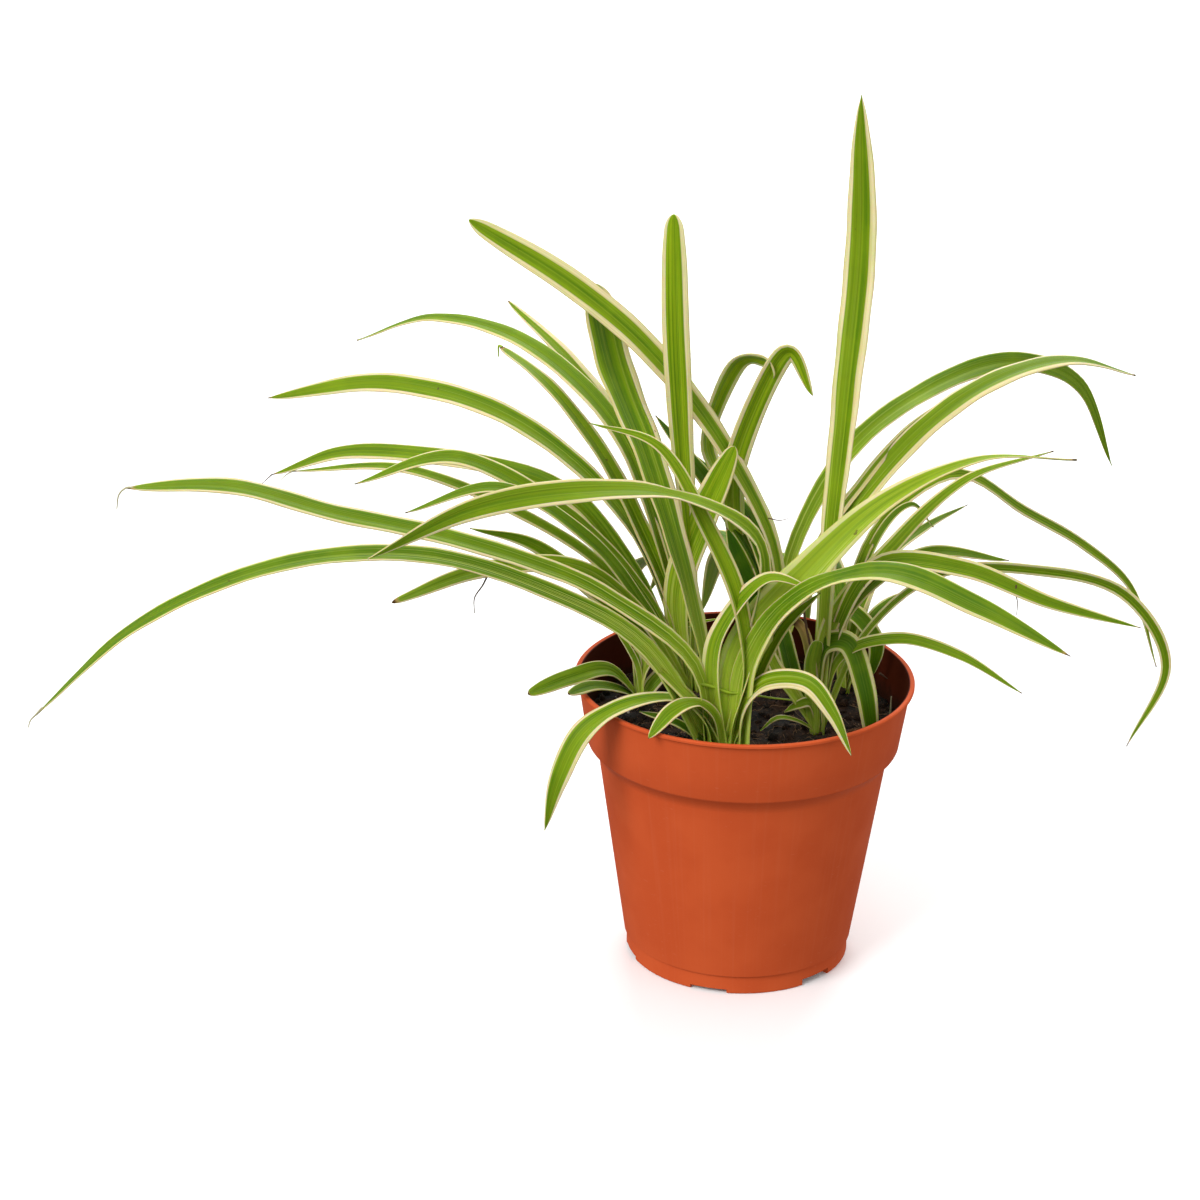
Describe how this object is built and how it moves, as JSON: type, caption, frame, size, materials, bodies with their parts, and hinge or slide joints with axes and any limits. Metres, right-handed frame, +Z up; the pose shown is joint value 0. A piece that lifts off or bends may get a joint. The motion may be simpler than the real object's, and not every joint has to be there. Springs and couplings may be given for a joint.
{
  "type": "potted spider plant",
  "caption": "House plant of long arching green leaves with cream margins, growing in soil in a terracotta-coloured plastic nursery pot.",
  "frame": {"origin": "centre of the pot's flat underside, on the pot's own axis", "axes": "+Z up along the pot's axis, +X to the plant's right as the picture shows it, +Y to its back"},
  "size_m": [0.49, 0.3234, 0.3931],
  "materials": {
    "pot": "satin",
    "soil": "matte",
    "leaf": "satin"
  },
  "bodies": {
    "root": {"pot": "pot", "soil": "soil", "crown_front": "leaf", "crown_left": "leaf", "crown_centre": "leaf", "crown_right": "leaf", "crown_back": "leaf", "crown_offset": "leaf"}
  },
  "joints": []
}
